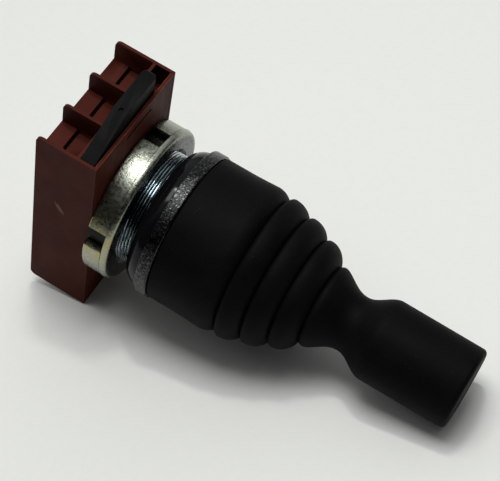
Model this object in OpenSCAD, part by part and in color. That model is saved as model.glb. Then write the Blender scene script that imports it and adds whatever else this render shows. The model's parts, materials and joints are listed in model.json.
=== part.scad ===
// Panel-mounted industrial joystick switch: a sprung lever under a rubber
// gaiter, a threaded bush with a ring nut, and a clip-on contact block.
// Z runs along the lever, the origin is the centre of the panel seat.

/* [Panel fitting] */
// Outside diameter of the threaded bush
bush_d = 22; // [21:0.5:24]
// Outside diameter of the bezel ring
bezel_d = 29; // [28:0.5:34]
// Height of the bezel ring
bezel_h = 2.4; // [2.2:0.1:4]
// Thickness of the panel gasket
gasket_h = 3; // [2.6:0.1:4]
// Outside diameter of the ring nut
nut_d = 30.4; // [29:0.2:34]
// Thickness of the ring nut
nut_h = 5; // [4.4:0.2:7]
// Bare thread between the nut and the gasket
panel_gap = 2.6; // [1.6:0.1:4]
// Number of spanner notches in the nut
notch_count = 4; // [3:1:6]

/* [Contact block] */
// Width of the contact block
block_w = 25; // [24.4:0.2:30]
// Height of the contact block
block_h = 46; // [44:1:54]
// Depth of the contact block behind the bush
block_d = 12; // [12:0.5:16]
// Thickness of the moulded walls
wall_t = 0.6; // [0.5:0.1:1]
// Depth of the open terminal bays
bay_depth = 5; // [4.6:0.2:6]
// Thickness of the front cover
cover_t = 0.6; // [0.5:0.1:0.9]
// Travel of the locking slider
lock_travel = 1.8; // [1.4:0.1:2]
// Height of the slider's finger bar above the block
bar_rise = 4; // [1:0.5:5]

/* [Lever] */
// Tilt of the lever to each side
tilt = 14; // [8:1:14]
// Height of the tilt axes above the panel seat
pivot_z = 0.4; // [0.2:0.1:0.6]
// Diameter of the lever rod
rod_d = 6; // [5:0.5:6]
// Distance of each plunger from the centre
pusher_r = 5; // [4.8:0.1:5.1]
// Diameter of the grip
grip_d = 15.8; // [15:0.2:18]
// Height of the grip's end above the panel seat
grip_top = 62.4; // [60:0.2:75]

/* [Gaiter] */
// Outside diameter of the gaiter's skirt
skirt_d = 28.4; // [27.6:0.2:28.8]
// Height of the skirt's upper edge, where the first notch is
skirt_top = 18.9; // [18.5:0.2:20]
// Height from one fold to the next
fold_pitch = 4.6; // [4.3:0.05:4.8]
// Thickness of the gaiter's rubber
rubber_t = 1.3; // [1:0.1:1.5]

/* [Hidden] */
$fn = 72;
e = 0.01;

// heights along the lever, from the block up
block_front = -panel_gap - nut_h;
block_rear = block_front - block_d;
bezel_top = gasket_h + bezel_h;
bush_r = bush_d / 2;
bush_bore = bush_r - 2.1;
run = 0.05;                       // radial running clearance
flange_r = bezel_d / 2 - 1.4;     // the bush's flange, inside the bezel
flange_t = 0.8;

// the slider's layer behind the cover, and the bush's grooved tail in it
slider_t = 0.85;
cover_back = block_front - cover_t;
slider_z = cover_back - 0.2 - slider_t;
groove_top = cover_back - 0.1;
groove_low = slider_z - 0.15;
tail_low = groove_low - 0.55;
tail_r = bush_r - 1.6;
groove_r = tail_r - 1;
tail_bore = pusher_r + 1.9;
tooth_w = lock_travel - 0.1;

// contact mechanism
stroke = 1.285;                   // plunger travel at full tilt
plate_drop = 5.2;                 // tilt axes to the face that pushes
plate_r = 7;
plate_t = 1.2;
plate_edge = 0.3;                 // its rubbing edge is eased
plate_z = pivot_z - plate_drop;
tip_z = plate_z - 0.5;
tip_r = 1;
guide_t = 1;
guide_z = tail_low - 0.2 - guide_t;
guide_r = pusher_r + 4.1;
cavity_r = pusher_r + 3.6;
floor_t = 0.8;                    // floor under the plunger springs
cavity_z = block_rear + floor_t;
collar_t = 0.7;
collar_r = 1.8;
collar_z = guide_z - stroke - 0.1 - collar_t;
bridge_t = 0.4;
bridge_z = collar_z - bridge_t;
bridge_l = 6.6;
pip_t = 0.25;
pip_r = 0.65;
pip_at = 2.6;
strip_t = 0.5;
strip_z = bridge_z - 2 * pip_t - stroke - 0.08 - strip_t;
strip_w = 1.6;
stem_r = 0.6;
stem_z = cavity_z + stroke + 0.15;

// terminals: three to a side, one in each bay
bay_n = 3;
rib_t = wall_t - 0.05;
bay_pitch = (block_w - wall_t) / bay_n;
floor_y = block_h / 2 - bay_depth;
step_y = floor_y - 0.7;
term_y = floor_y - 4.4;
well_r = 3.2;
clamp_w = 4.3;
clamp_t = 0.6;
clamp_z = strip_z - 0.45 - clamp_t;
slot_z = clamp_z + clamp_t;       // thin wire slot in each bay's floor
slot_t = 0.45;
screw_head_r = 2.2;
screw_r = 1.25;
function bay_x(i) = (i - (bay_n - 1) / 2) * bay_pitch;

// channel for the slider's bar, open at the top of the block
channel_low = block_rear + block_d * 0.7;
rib_low = channel_low - 0.55;
bar_low = channel_low + 0.1;
bar_x0 = -block_w / 2 + wall_t + 0.1;
bar_x1 = block_w / 2 - wall_t - lock_travel - 2.5;
bar_top = block_h / 2 + bar_rise;
bar_y0 = block_h / 2 - 3.6;
web_y0 = tail_r + 0.5;

// gimbal
ring_h = 3;
ring_ro = bush_bore - 0.7;
ring_ri = ring_ro - 2.6;
pin_end = bush_bore + 1.2;
pin_r = 0.95;
hub_r = 4.6;
hub_h = 5.2;
rod_r = rod_d / 2;

// spring round the lever, between a seat on the bush and a collar on the rod
rim_z = gasket_h + flange_t + 0.4;
seat_t = 1;
collar_low = 14.9;
collar_h = 1.2;
coil_r = 5.8;
coil_wire = 0.5;

// gaiter: above each notch the rubber steps out, then rounds down to the next
skirt_r = skirt_d / 2;
grip_r = grip_d / 2;
swell = 0.2;                      // the skirt widens a little below its dome
swell_h = 4;
dome_h = 3;                       // rounded upper part of the skirt
notch_h = 0.95;                   // height in which a fold steps out
groove_z = [for (i = [0:3]) skirt_top + i * fold_pitch];
groove_rr = [12.6, 11.6, 9.9, 7.2];
ridge_rr = [14, 12.7, 10.8, 7.95];
cone_h = 6.8;                     // last notch to the neck
neck_z = groove_z[3] + cone_h;
neck_r = 5.4;
flare_h = 5.9;                    // neck to the long part of the grip
grip_z = neck_z + flare_h;
grip_draft = 0.1;                 // the grip narrows towards its end
grip_cap = 4.2;                   // solid rubber over the insert
insert_t = 1.45;

// smooth step from a to b, t from 0 to 1
function ease(a, b, t) = a + (b - a) * (1 - cos(180 * t)) / 2;
// points [radius, height] on a smooth curve between two [r, z] points; a power
// under 1 moves the bend towards the first one
function sweep_to(p, q, n, power) = [for (i = [1:n]) let (t = i / n)
  [ease(p[0], q[0], pow(t, power)), p[1] + (q[1] - p[1]) * t]];
// rounded drop from the widest place [rp, zp] to a notch [r1, z1]
function fall(rp, r1, zp, z1, n) = [for (k = [1:n]) let (b = 90 * k / n)
  [r1 + (rp - r1) * pow(cos(b), 1.2), zp + (z1 - zp) * sin(b)]];
// quarter round out of a notch [r0, z0] to the next widest place
function rise(r0, rp, z0) =
  [for (k = [1:4]) [r0 + (rp - r0) * sin(22.5 * k), z0 + notch_h * (1 - cos(22.5 * k))]];
function fold(i) = concat(rise(groove_rr[i], ridge_rr[i], groove_z[i]),
  fall(ridge_rr[i], groove_rr[i + 1], groove_z[i] + notch_h, groove_z[i + 1], 8));
// elliptic arc round [cx, cz], from angle t0 to t1
function quarter(cx, cz, a, b, t0, t1, n) =
  [for (i = [0:n]) let (t = t0 + (t1 - t0) * i / n) [cx + a * cos(t), cz + b * sin(t)]];

// flat bar from p to q in the XY plane, width w, thickness h
module bar(p, q, w, h) {
  d = q - p;
  translate([p[0], p[1], 0]) rotate([0, 0, atan2(d[1], d[0])])
    translate([-w / 2, -w / 2, 0]) cube([norm(d) + w, w, h]);
}
// bent strip along a list of points
module strip(path, w, h) {
  for (i = [0:len(path) - 2]) bar(path[i], path[i + 1], w, h);
}

// where each strip runs, from the fixed contact to its terminal
tx = bay_pitch;
path_e = [[pusher_r, pip_at], [tx * 0.86, pip_at + 3.4], [tx, term_y]];
path_n = [[pip_at, pusher_r], [pip_at, pusher_r + 3], [0, term_y]];
path_w = [[-pusher_r, pip_at], [-tx * 0.86, pip_at + 3.4], [-tx, term_y]];
path_s = [[-pip_at, -pusher_r], [-pip_at, -pusher_r - 3], [-tx, -term_y]];
paths_common = [
  [[-pusher_r, -pip_at], [0, 0], [pusher_r, -pip_at]],
  [[-pip_at, pusher_r], [0, 0], [pip_at, -pusher_r], [pip_at, -pusher_r - 3],
   [0, -term_y]],
  [[pip_at, -pusher_r - 3], [tx, -term_y]]];
terminals = [for (i = [0:2], s = [-1, 1]) [bay_x(i), s * term_y]];

// one side wall's outline, rear corners rounded, standing along X
module wall_slab(x0, t, z1, y1, y2) {
  r = 1.2;
  translate([x0, 0, 0]) rotate([90, 0, 90]) linear_extrude(t) polygon(concat(
    quarter(y2 - r, block_rear + r, r, r, 0, -90, 6),
    quarter(y1 + r, block_rear + r, r, r, -90, -180, 6), [[y1, z1], [y2, z1]]));
}

module contact_housing() color([0.36, 0.16, 0.14]) {
  hw = block_w / 2;
  hh = block_h / 2;
  difference() {
    union() {
      // solid middle between the two rows of bays
      translate([-hw, -floor_y, block_rear])
        cube([block_w, 2 * floor_y, cover_back - block_rear]);
      // the lower edge is closed in front of its bays
      translate([-hw, -hh, rib_low]) cube([block_w, hh, cover_back - rib_low]);
      // thin rib behind the slider's channel
      translate([-hw, 0, rib_low]) cube([block_w, hh, channel_low - rib_low]);
      // side walls run past the cover, the ribs between the bays stop short
      for (s = [0, 1]) wall_slab(s * (block_w - wall_t) - hw, wall_t, block_front, -hh, hh);
      for (i = [0:bay_n - 2])
        wall_slab(bay_x(i) + bay_pitch / 2 - rib_t / 2, rib_t, rib_low + e, -hh, hh);
    }
    // step in each bay's floor, the wire slot behind it, and a corner notch
    for (i = [0:bay_n - 1], s = [0, 1]) mirror([0, s, 0]) translate([bay_x(i), 0, 0]) {
      bw = bay_pitch - wall_t;
      translate([-bw / 2, step_y, slot_z + slot_t / 2])
        cube([bw, bay_depth, rib_low - slot_z - slot_t / 2]);
      translate([-bw / 2 + 3, term_y, slot_z]) cube([bw - 3, bay_depth, slot_t]);
      translate([-bw / 2, floor_y - 2.4, block_rear - e]) cube([0.9, bay_depth, 1.4]);
    }
    // terminal wells and screw holes
    for (p = terminals) translate([p[0], p[1], 0]) {
      translate([0, 0, block_rear - 1]) cylinder(r = well_r, h = strip_z - block_rear + 1.2);
      translate([0, 0, strip_z]) cylinder(r = screw_r + 0.15, h = 3);
      translate([-clamp_w / 2 - 0.15, -clamp_w / 2 - 0.15, strip_z - 0.3])
        cube([clamp_w + 0.3, clamp_w + 0.3, strip_t + 0.4]);
    }
    // cavity for the plungers, and grooves for the strips
    translate([0, 0, cavity_z]) cylinder(r = cavity_r, h = guide_z - cavity_z + guide_t / 3);
    for (a = concat([path_e, path_n, path_w, path_s], paths_common))
      translate([0, 0, strip_z - 0.1]) strip(a, strip_w + 0.2, strip_t + 0.2);
    // seat of the guide plate, room for the bush's tail
    translate([0, 0, guide_z]) cylinder(r = guide_r + 0.1, h = guide_t + 0.1);
    translate([0, 0, guide_z + guide_t / 2]) cylinder(r = tail_r + 0.3, h = cover_back - guide_z);
    // slider's channel and the flat pocket below it
    translate([-hw + wall_t, bar_y0 - 0.2, channel_low])
      cube([block_w - 2 * wall_t, bay_depth + 4, cover_back - channel_low + e]);
    translate([-hw + wall_t, 0, slider_z - 0.15])
      cube([block_w - 2 * wall_t, hh + 1, cover_back - slider_z + 0.15 + e]);
  }
}

module front_cover() color([0.38, 0.17, 0.15]) {
  hw = block_w / 2 - wall_t - 0.04;
  difference() {
    translate([-hw, -block_h / 2, cover_back]) cube([2 * hw, block_h, cover_t]);
    translate([0, 0, cover_back - 1]) cylinder(r = tail_r + 0.15, h = cover_t + 2);
    // sight slot over the slider
    translate([-block_w / 10, block_h / 2 - 2.9, cover_back - 1])
      cube([block_w * 0.3, 0.8, cover_t + 2]);
  }
}

module lock_slider() color([0.07, 0.07, 0.08]) {
  r = 1;
  bar_z1 = cover_back - 0.2;
  mid = (bar_x0 + bar_x1) / 2;
  difference() {
    union() {
      // finger bar: rises from one side wall, runs level, free end rounded
      intersection() {
        translate([0, 0, bar_low]) linear_extrude(bar_z1 - bar_low) polygon([
          [bar_x0, bar_y0], [bar_x1, bar_y0], [bar_x1, bar_top - 0.3],
          [bar_x1 - 0.3, bar_top], [mid, bar_top], [bar_x0, block_h / 2]]);
        rotate([90, 0, 0]) linear_extrude(3 * block_h, center = true) polygon(concat(
          [[bar_x0, bar_low]],
          quarter(bar_x1 - r, bar_low + r, r, r, -90, 0, 6),
          quarter(bar_x1 - r, bar_z1 - r, r, r, 0, 90, 6), [[bar_x0, bar_z1]]));
      }
      // web behind the cover
      translate([bar_x0, web_y0, slider_z]) cube([bar_x1 - bar_x0, bar_y0 - web_y0 + e, slider_t]);
      // tooth that drops into the bush's groove
      translate([-tooth_w / 2, groove_r + 0.2, slider_z]) cube([tooth_w, web_y0 - groove_r, slider_t]);
    }
    // finger dimple, and the bar's relieved front
    translate([mid, bar_top, (bar_low + cover_back) / 2]) rotate([90, 0, 0])
      cylinder(r = 0.45, h = 0.8, center = true);
    translate([bar_x0 + 1.5, bar_y0 + 1, bar_z1 - 0.3])
      cube([mid - bar_x0 + 0.6, block_h / 2 - bar_y0 - 0.8, 1]);
  }
}

module threaded_bush() color([0.62, 0.64, 0.66]) {
  difference() {
    rotate_extrude() polygon([
      [bush_bore, rim_z], [bush_bore, block_front + 1], [tail_bore, block_front + 0.4],
      [tail_bore, tail_low], [tail_r, tail_low], [tail_r, groove_low],
      [groove_r, groove_low], [groove_r, groove_top], [tail_r, groove_top],
      [tail_r, block_front], [bush_r - 0.6, block_front], [bush_r, block_front + 0.6],
      [bush_r, gasket_h], [flange_r, gasket_h],
      [flange_r, gasket_h + flange_t], [bush_r - 0.1, gasket_h + flange_t],
      [bush_r - 0.1, rim_z]]);
    // way out for the slider's tooth, beside the locked position
    translate([lock_travel - tooth_w / 2 - 0.1, groove_r - 0.1, tail_low - 1])
      cube([tooth_w + 0.2, 2, groove_top - tail_low + 1]);
    // blind bearings of the gimbal ring
    translate([0, 0, pivot_z]) rotate([0, 90, 0])
      cylinder(r = pin_r + run, h = 2 * (pin_end + 0.1), center = true);
  }
}

module ring_nut() color([0.66, 0.67, 0.66]) {
  c = 1.2;
  r = nut_d / 2;
  difference() {
    rotate_extrude() polygon(concat(
      [[bush_r + run, block_front], [r, block_front], [r, -panel_gap - c]],
      quarter(r - c / 2, -panel_gap - c, c / 2, c, 15, 90, 5),
      [[bush_r + run + 0.7, -panel_gap], [bush_r + run, -panel_gap - 0.7]]));
    for (i = [0:notch_count - 1]) rotate([0, 0, 72 + i * 360 / notch_count])
      translate([r - 1.5, -2.1, block_front - 1]) cube([4, 4.2, nut_h - c - 0.2 + 1]);
  }
}

module panel_gasket() color([0.05, 0.05, 0.05])
  rotate_extrude() polygon(concat(
    [[bush_r + 0.02, 0], [bush_r + 1.3, 0]],
    quarter(bush_r + 1.3, gasket_h - 0.5, bezel_d / 2 - 0.5 - bush_r - 1.3, gasket_h - 0.5,
      -80, 0, 8),
    [[bezel_d / 2 - 0.5, gasket_h], [bush_r + 0.02, gasket_h]]));

module bezel_ring() color([0.42, 0.43, 0.44]) {
  r = bezel_d / 2;
  ri = flange_r + run;
  lip = 0.75;
  rotate_extrude() polygon([
    [ri, gasket_h], [r - 0.3, gasket_h], [r, gasket_h + 0.3], [r, bezel_top - 0.4],
    [r - 0.4, bezel_top], [ri - lip, bezel_top], [ri - lip, bezel_top - 0.8],
    [ri, bezel_top - 0.8]]);
}

module spring_seat() color([0.6, 0.61, 0.62])
  rotate_extrude() polygon([[rod_r + 2.1, rim_z], [bush_r - 0.2, rim_z],
    [bush_r - 0.2, rim_z + seat_t], [rod_r + 2.1, rim_z + seat_t]]);

// rubber skirt, its foot held between the bush's flange and the bezel's lip
module gaiter_skirt() color([0.06, 0.06, 0.06]) {
  fr = flange_r - run;
  lip = 0.8;
  ri = skirt_r - rubber_t - 0.2;
  top_r = groove_rr[0] - rubber_t;
  rotate_extrude() polygon(concat(
    [[bush_r, gasket_h + flange_t], [fr, gasket_h + flange_t], [fr, bezel_top - 0.85],
     [fr - lip, bezel_top - 0.85], [fr - lip, bezel_top + 0.05],
     [skirt_r - 0.3, bezel_top + 0.05], [skirt_r, bezel_top + 0.35],
     [skirt_r, skirt_top - dome_h - swell_h], [skirt_r + swell, skirt_top - dome_h]],
    fall(skirt_r + swell, groove_rr[0], skirt_top - dome_h, skirt_top, 8),
    [[top_r, skirt_top], [top_r, skirt_top - 1], [ri, skirt_top - dome_h],
     [ri, bezel_top + 1.2], [bush_r, bezel_top + 0.4]]));
}

// the inside of a fold follows its outside, one wall thickness in
function moved_in(path, d) = [for (i = [len(path) - 1:-1:0]) path[i] - [d, 0]];

module gaiter_fold_lower() color([0.06, 0.06, 0.06]) {
  outer = concat([[groove_rr[0], groove_z[0]]], fold(0), fold(1));
  rotate_extrude() polygon(concat(outer, moved_in(outer, rubber_t)));
}

module gaiter_fold_upper() color([0.06, 0.06, 0.06]) {
  outer = concat([[groove_rr[2], groove_z[2]]], fold(2),
    rise(groove_rr[3], ridge_rr[3], groove_z[3]),
    sweep_to([ridge_rr[3], groove_z[3] + notch_h], [neck_r, neck_z], 12, 0.8));
  rotate_extrude() polygon(concat(outer, moved_in(outer, rubber_t)));
}

module grip() color([0.06, 0.06, 0.06]) {
  c = 0.9;
  difference() {
    rotate_extrude() polygon(concat([[rod_r + 0.6, neck_z], [neck_r, neck_z]],
      sweep_to([neck_r, neck_z], [grip_r, grip_z], 12, 1),
      quarter(grip_r - grip_draft - c, grip_top - c, c, c, 0, 90, 6),
      [[0, grip_top], [0, grip_z + 4],
      [rod_r + 0.6, grip_z + 3]]));
    translate([0, 0, grip_z - 1])
      cylinder(r = rod_r + insert_t + run, h = grip_top - grip_cap - grip_z + 1);
  }
}

module grip_insert() color([0.72, 0.58, 0.3])
  difference() {
    translate([0, 0, grip_z - 0.9])
      cylinder(r = rod_r + insert_t, h = grip_top - grip_cap - grip_z + 0.8);
    translate([0, 0, grip_z - 2])
      cylinder(r = rod_r, h = grip_top - 2 * grip_cap - grip_z + 2.4);
  }

module lever_rod() color([0.7, 0.71, 0.72])
  difference() {
    translate([0, 0, plate_z + plate_t])
      cylinder(r = rod_r, h = grip_top - 2 * grip_cap - plate_z - plate_t);
    translate([0, 0, pivot_z]) rotate([90, 0, 0])
      cylinder(r = pin_r + run, h = 2 * rod_r + 2, center = true);
  }

module spring_collar() color([0.55, 0.56, 0.58])
  difference() {
    translate([0, 0, collar_low]) cylinder(r = coil_r + coil_wire + run, h = collar_h);
    translate([0, 0, collar_low - e]) cylinder(r = rod_r, h = collar_h + 2 * e);
  }

// helical spring: a ring of m points swept along n steps of the coil
module coil(r, wire, z0, z1, turns, n, m) {
  k = (z1 - z0 - 2 * wire) / 360 / turns;
  pts = [for (i = [0:n]) let (a = 360 * turns * i / n) for (j = [0:m - 1])
    let (b = 360 * j / m, q = r + wire * cos(b))
      [q * cos(a), q * sin(a), z0 + wire + k * a + wire * sin(b)]];
  faces = concat([[for (j = [0:m - 1]) j]], [[for (j = [m - 1:-1:0]) n * m + j]],
    [for (i = [0:n - 1], j = [0:m - 1]) let (u = i * m, v = (j + 1) % m)
      [u + v, u + j, u + m + j, u + m + v]]);
  polyhedron(pts, faces);
}

module centring_spring() color([0.6, 0.6, 0.62])
  coil(coil_r, coil_wire, rim_z + seat_t + 0.02, collar_low - 0.02, 5, 90, 8);

// the lever's hub carries the inner pair of pivots
module pivot_block() color([0.5, 0.5, 0.52])
  difference() {
    translate([0, 0, pivot_z - hub_h / 2]) cylinder(r = hub_r, h = hub_h);
    translate([0, 0, pivot_z - hub_h]) cylinder(r = rod_r, h = 2 * hub_h);
    translate([0, 0, pivot_z]) rotate([90, 0, 0])
      cylinder(r = pin_r + run, h = 3 * hub_r, center = true);
  }

module gimbal_ring() color([0.58, 0.58, 0.6])
  difference() {
    translate([0, 0, pivot_z - ring_h / 2]) cylinder(r = ring_ro, h = ring_h);
    translate([0, 0, pivot_z - ring_h]) cylinder(r = ring_ri, h = 2 * ring_h);
    for (a = [0, 90]) translate([0, 0, pivot_z]) rotate([0, 90, a])
      cylinder(r = pin_r, h = 3 * ring_ro, center = true);
  }

module gimbal_pins() color([0.75, 0.75, 0.76]) translate([0, 0, pivot_z]) {
  for (s = [0, 180]) rotate([0, 0, s]) translate([ring_ri + 0.15, 0, 0]) rotate([0, 90, 0])
    cylinder(r = pin_r, h = pin_end - ring_ri - 0.15);
  rotate([90, 0, 0]) cylinder(r = pin_r, h = 2 * ring_ro - 0.4, center = true);
}

module actuator_plate() color([0.85, 0.84, 0.8])
  rotate_extrude() polygon([[0, plate_z], [plate_r - plate_edge, plate_z],
    [plate_r, plate_z + plate_edge], [plate_r, plate_z + plate_t - plate_edge],
    [hub_r - plate_edge, plate_z + plate_t], [0, plate_z + plate_t]]);

module guide_plate() color([0.1, 0.1, 0.11])
  difference() {
    translate([0, 0, guide_z]) cylinder(r = guide_r, h = guide_t);
    for (a = [0:90:270]) rotate([0, 0, a]) translate([pusher_r, 0, guide_z - 1])
      cylinder(r = tip_r + run, h = guide_t + 2);
  }

// one plunger: domed tip, guided shank, collar and stem
module plunger(a) color([0.86, 0.85, 0.8])
  rotate([0, 0, a]) translate([pusher_r, 0, 0]) {
    translate([0, 0, tip_z - tip_r]) sphere(r = tip_r);
    translate([0, 0, collar_z]) cylinder(r = tip_r, h = tip_z - tip_r - collar_z);
    translate([0, 0, collar_z]) cylinder(r = collar_r, h = collar_t);
    translate([0, 0, stem_z]) cylinder(r = stem_r, h = collar_z - stem_z + e);
  }
module plunger_e() plunger(0);
module plunger_n() plunger(90);
module plunger_w() plunger(180);
module plunger_s() plunger(270);

// moving contact under the collar, with a silver pip at each end
module bridge(a) color([0.78, 0.55, 0.32])
  rotate([0, 0, a]) translate([pusher_r, 0, bridge_z]) difference() {
    union() {
      translate([-0.9, -bridge_l / 2, 0]) cube([1.8, bridge_l, bridge_t]);
      cylinder(r = 1.5, h = bridge_t);
      for (s = [-1, 1]) translate([0, s * pip_at, -pip_t]) cylinder(r = pip_r, h = pip_t + e);
    }
    translate([0, 0, -1]) cylinder(r = stem_r + 0.02, h = 3);
  }
module bridge_e() bridge(0);
module bridge_n() bridge(90);
module bridge_w() bridge(180);
module bridge_s() bridge(270);

module contact_spring(a) color([0.62, 0.62, 0.64])
  rotate([0, 0, a]) translate([pusher_r, 0, 0])
    coil(1.1, 0.2, cavity_z + 0.01, bridge_z - 0.01, 5, 70, 6);
module contact_spring_e() contact_spring(0);
module contact_spring_n() contact_spring(90);
module contact_spring_w() contact_spring(180);
module contact_spring_s() contact_spring(270);

// fixed contact: pip, strip and the square pad under the terminal screw
module fixed_strip(path, pips, pads) translate([0, 0, strip_z]) {
  difference() {
    union() {
      for (p = path) strip(p, strip_w, strip_t);
      for (p = pads) translate([p[0] - clamp_w / 2, p[1] - clamp_w / 2, 0])
        cube([clamp_w, clamp_w, strip_t]);
      for (p = pips) translate([p[0], p[1], 0]) cylinder(r = pip_r, h = strip_t + pip_t);
    }
    for (p = pads) translate([p[0], p[1], -1]) cylinder(r = screw_r, h = 3);
  }
}
module contact_strip_e() color([0.8, 0.66, 0.36])
  fixed_strip([path_e], [path_e[0]], [path_e[2]]);
module contact_strip_n() color([0.8, 0.66, 0.36])
  fixed_strip([path_n], [path_n[0]], [path_n[2]]);
module contact_strip_w() color([0.8, 0.66, 0.36])
  fixed_strip([path_w], [path_w[0]], [path_w[2]]);
module contact_strip_s() color([0.8, 0.66, 0.36])
  fixed_strip([path_s], [path_s[0]], [path_s[2]]);
module common_plate() color([0.8, 0.66, 0.36])
  fixed_strip(paths_common,
    [[pusher_r, -pip_at], [-pusher_r, -pip_at], [-pip_at, pusher_r], [pip_at, -pusher_r]],
    [[0, -term_y], [tx, -term_y]]);

module clamp_washers() color([0.7, 0.71, 0.72])
  for (p = terminals) translate([p[0], p[1], clamp_z]) difference() {
    translate([-clamp_w / 2, -clamp_w / 2, 0]) cube([clamp_w, clamp_w, clamp_t]);
    translate([0, 0, -1]) cylinder(r = screw_r + 0.1, h = 3);
  }

module terminal_screws() color([0.72, 0.73, 0.74])
  for (p = terminals) translate([p[0], p[1], 0]) difference() {
    union() {
      translate([0, 0, block_rear + 0.4]) cylinder(r = screw_head_r, h = clamp_z - block_rear - 0.4);
      translate([0, 0, clamp_z - e]) cylinder(r = screw_r, h = strip_z - clamp_z + 2.6);
    }
    for (a = [0, 90]) rotate([0, 0, a])
      translate([-0.3, -1.6, block_rear]) cube([0.6, 3.2, 1]);
  }

contact_housing();
front_cover();
lock_slider();
threaded_bush();
ring_nut();
panel_gasket();
bezel_ring();
spring_seat();
gaiter_skirt();
gaiter_fold_lower();
gaiter_fold_upper();
grip();
grip_insert();
lever_rod();
spring_collar();
centring_spring();
pivot_block();
gimbal_ring();
gimbal_pins();
actuator_plate();
guide_plate();
plunger_e();
plunger_n();
plunger_w();
plunger_s();
bridge_e();
bridge_n();
bridge_w();
bridge_s();
contact_spring_e();
contact_spring_n();
contact_spring_w();
contact_spring_s();
contact_strip_e();
contact_strip_n();
contact_strip_w();
contact_strip_s();
common_plate();
clamp_washers();
terminal_screws();
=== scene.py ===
# %% [markdown]
# # Panel joystick switch
# The part lies on its side: a contact block with open terminal bays, a threaded
# bush with a ring nut and a gasket, a grey bezel, and a black rubber gaiter that
# runs on into the grip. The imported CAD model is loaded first. It stays the frame
# that every piece below is built around, in metres, with +Z along the lever.

# %% Load the frame
import json
import math

import bmesh
import bpy
import numpy as np
from mathutils import Matrix, Vector

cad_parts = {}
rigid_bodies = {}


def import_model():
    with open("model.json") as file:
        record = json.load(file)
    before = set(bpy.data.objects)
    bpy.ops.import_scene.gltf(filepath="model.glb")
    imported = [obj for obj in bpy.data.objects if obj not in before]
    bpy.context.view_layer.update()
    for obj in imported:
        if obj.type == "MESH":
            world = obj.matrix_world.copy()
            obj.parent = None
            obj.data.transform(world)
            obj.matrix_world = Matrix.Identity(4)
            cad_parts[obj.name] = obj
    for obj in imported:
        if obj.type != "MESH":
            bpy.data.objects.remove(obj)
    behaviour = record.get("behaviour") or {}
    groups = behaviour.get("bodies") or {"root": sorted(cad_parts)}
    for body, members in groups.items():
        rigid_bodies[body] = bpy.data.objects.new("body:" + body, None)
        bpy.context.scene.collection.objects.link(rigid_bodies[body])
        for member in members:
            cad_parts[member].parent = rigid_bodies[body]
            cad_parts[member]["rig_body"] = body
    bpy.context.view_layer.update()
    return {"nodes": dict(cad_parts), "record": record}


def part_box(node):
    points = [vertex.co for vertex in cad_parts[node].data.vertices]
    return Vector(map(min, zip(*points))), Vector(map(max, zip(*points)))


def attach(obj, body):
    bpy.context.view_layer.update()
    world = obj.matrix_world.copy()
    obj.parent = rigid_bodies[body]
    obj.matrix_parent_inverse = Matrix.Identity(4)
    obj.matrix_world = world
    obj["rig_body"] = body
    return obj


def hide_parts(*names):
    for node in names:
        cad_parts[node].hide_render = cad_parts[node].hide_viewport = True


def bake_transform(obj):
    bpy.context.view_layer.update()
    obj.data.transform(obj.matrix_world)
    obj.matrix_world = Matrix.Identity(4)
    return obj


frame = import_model()
MM = 0.001
nodes = frame["nodes"]

# %% [markdown]
# ## Camera
# The part rests on two places: the lower front edge of the block and the side of
# the grip's end. The plane through both is the table. Its normal is "up" for the
# light and for the shadow, although the model's own axis is the lever. A short
# lens close by would make the block's sides run together. A long lens from further
# away keeps them nearly parallel. The camera's turn is a matrix of three
# directions: to its side, to its top, and back along its line of sight.

# %% Camera
UP = Vector((0.0, 0.976, -0.217)).normalized()
AIM = Vector((0.00403, 0.00018, 0.01582))
EYE = Vector((-0.162496, 0.290573, 0.07534))
LEAN = Vector((0.70577, 0.50628, -0.49554))
camera_data = bpy.data.cameras.new("Camera")
camera_data.lens = 136.8
camera_data.sensor_width = 36.0
camera_data.clip_start = 0.01
camera_data.clip_end = 10.0
camera = bpy.data.objects.new("Camera", camera_data)
bpy.context.collection.objects.link(camera)
camera.location = EYE
look = (AIM - EYE).normalized()
side = look.cross(LEAN).normalized()
top = side.cross(look)
camera.rotation_mode = "QUATERNION"
camera.rotation_quaternion = Matrix((side, top, -look)).transposed().to_quaternion()
bpy.context.scene.camera = camera
bpy.context.scene.view_settings.view_transform = "Standard"
print("camera", round((AIM - EYE).length / MM), "mm from its aim")

# %% [markdown]
# ## Shader helpers
# A material in Blender is a small graph of nodes. Three helpers keep each graph
# short in code: `new_finish` starts a material, `put` adds a node and sets its
# sockets by name, and `wire` joins an output to an input. Where one helper takes
# what another node gives, it takes a (node, output) pair.

# %% Materials, nodes and wires
def built_in(tree, kind):
    """The one node of this kind that a new graph already holds."""
    return next(n for n in tree.nodes if n.type == kind)


def new_finish(name):
    """A material whose graph holds only a Principled shader and its output."""
    finish = bpy.data.materials.new(name)
    finish.use_nodes = True
    return finish, finish.node_tree, built_in(finish.node_tree, "BSDF_PRINCIPLED")


def put(tree, kind, **values):
    """Adds one node; each keyword is a socket (spaces as _) or a property."""
    made = tree.nodes.new("ShaderNode" + kind)
    for key, value in values.items():
        socket = key.replace("_", " ")
        if socket in made.inputs:
            made.inputs[socket].default_value = value
        else:
            setattr(made, key, value)
    return made


def wire(tree, source, output, target, socket):
    """Joins an output to an input, each given by its name or its number."""
    tree.links.new(source.outputs[output], target.inputs[socket])


# %% [markdown]
# A pattern could follow an unwrapped surface, but nothing here is woven or
# printed. Each one fills space instead, in Object coordinates, which are metres.
# So a grain has the same size on every piece and moves with it.

# %% Patterns and ramps
def coordinates(tree):
    """Object coordinates, the one space that every pattern here reads."""
    return put(tree, "TexCoord")


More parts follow.
